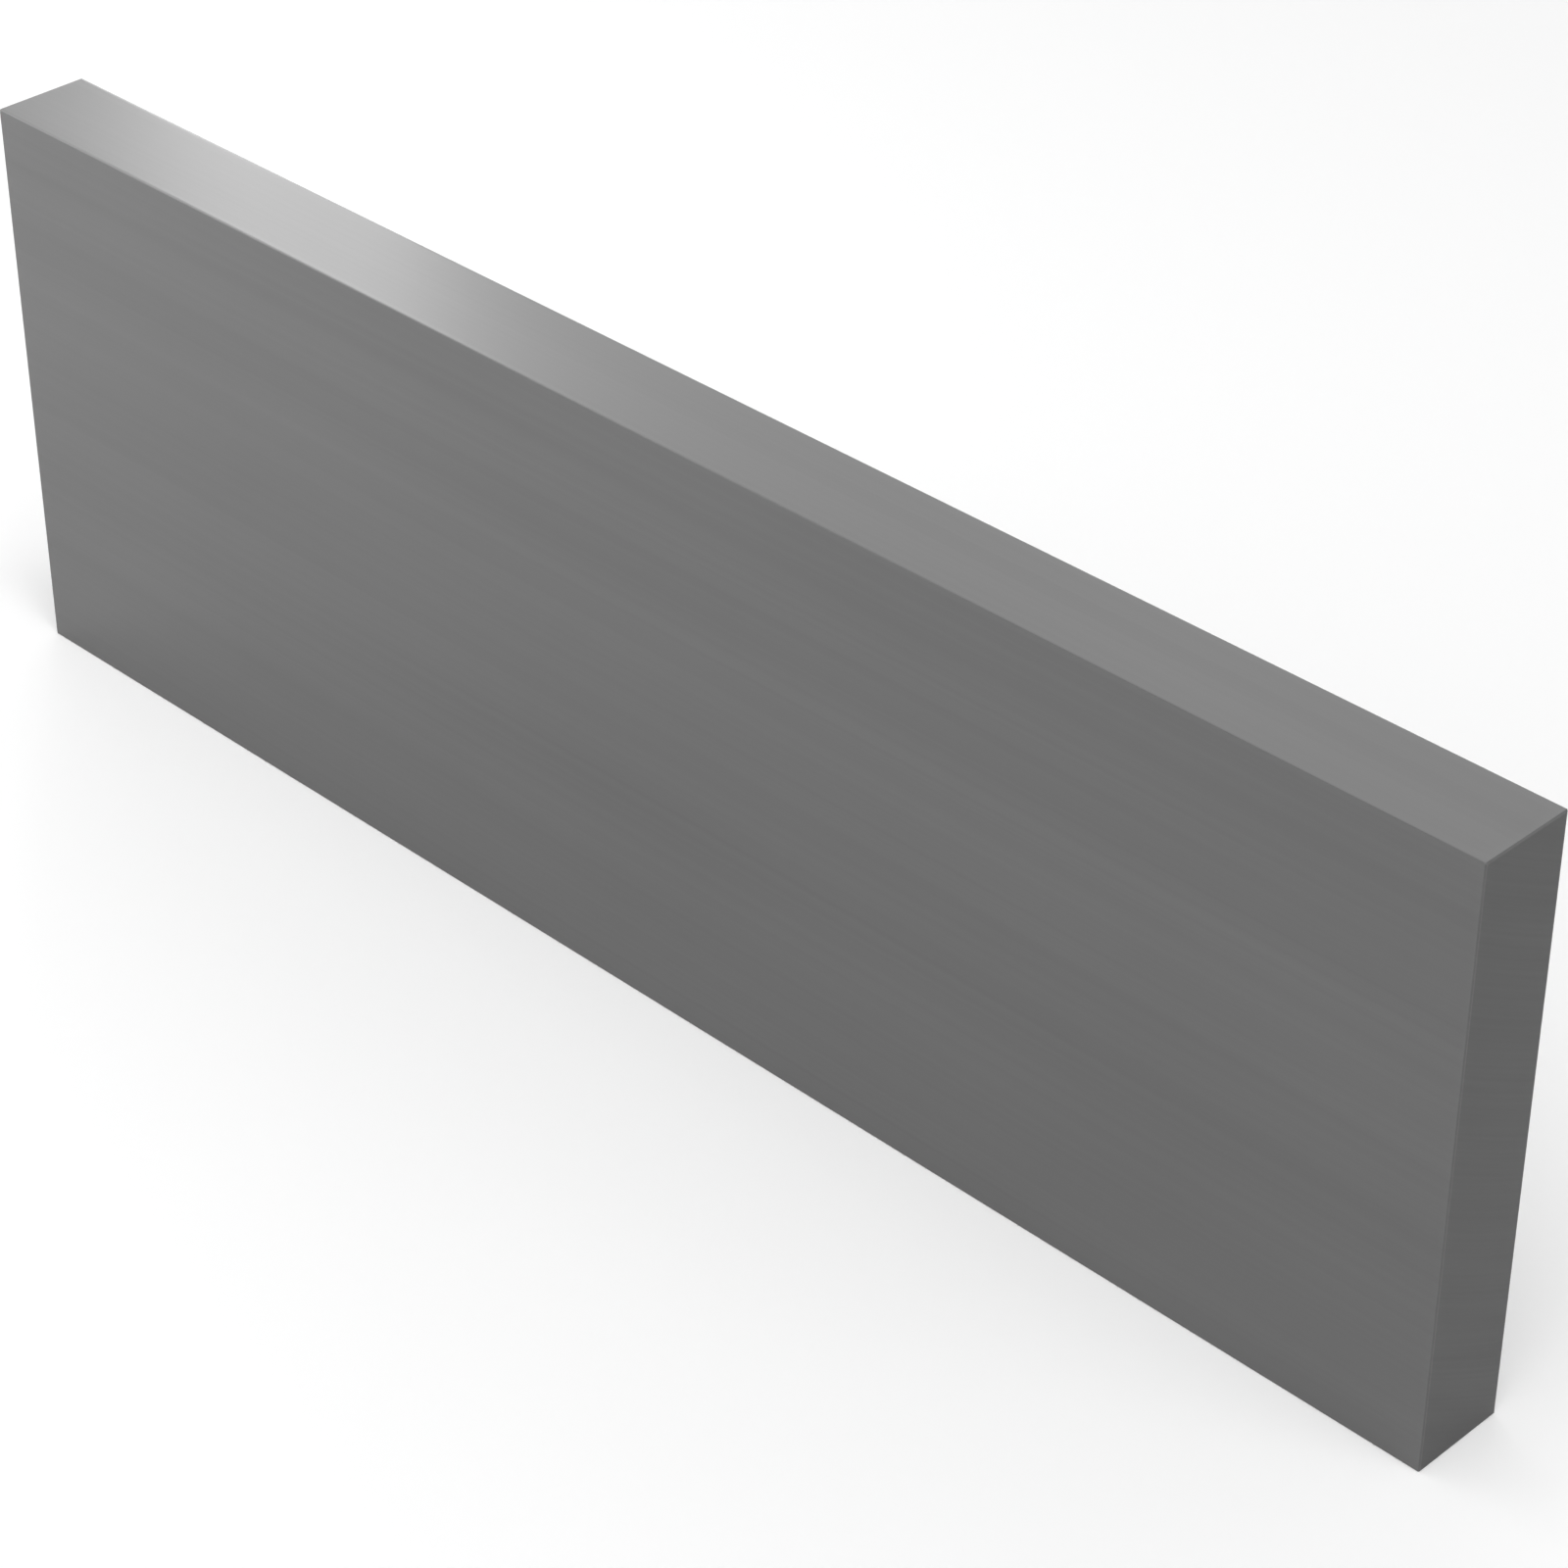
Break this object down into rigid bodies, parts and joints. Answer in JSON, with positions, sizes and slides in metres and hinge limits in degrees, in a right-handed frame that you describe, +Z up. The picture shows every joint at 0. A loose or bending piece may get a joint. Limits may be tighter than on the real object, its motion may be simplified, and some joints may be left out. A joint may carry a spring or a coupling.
{
  "type": "metal flat bar",
  "caption": "Short length of square-edged metal flat bar: one solid rectangular piece with smooth satin faces, fine drawn corners and straight sawn ends.",
  "frame": {"origin": "middle of the long narrow face that the bar stands on", "axes": "+X along the bar's length, +Y through its thickness from one broad face to the other, +Z up its width, from the narrow face it stands on to the upper one"},
  "size_m": [0.18, 0.01, 0.06],
  "materials": {
    "bright_drawn_steel": "satin, as drawn, dull grey"
  },
  "bodies": {
    "root": {"flat_bar": "bright_drawn_steel"}
  },
  "joints": []
}
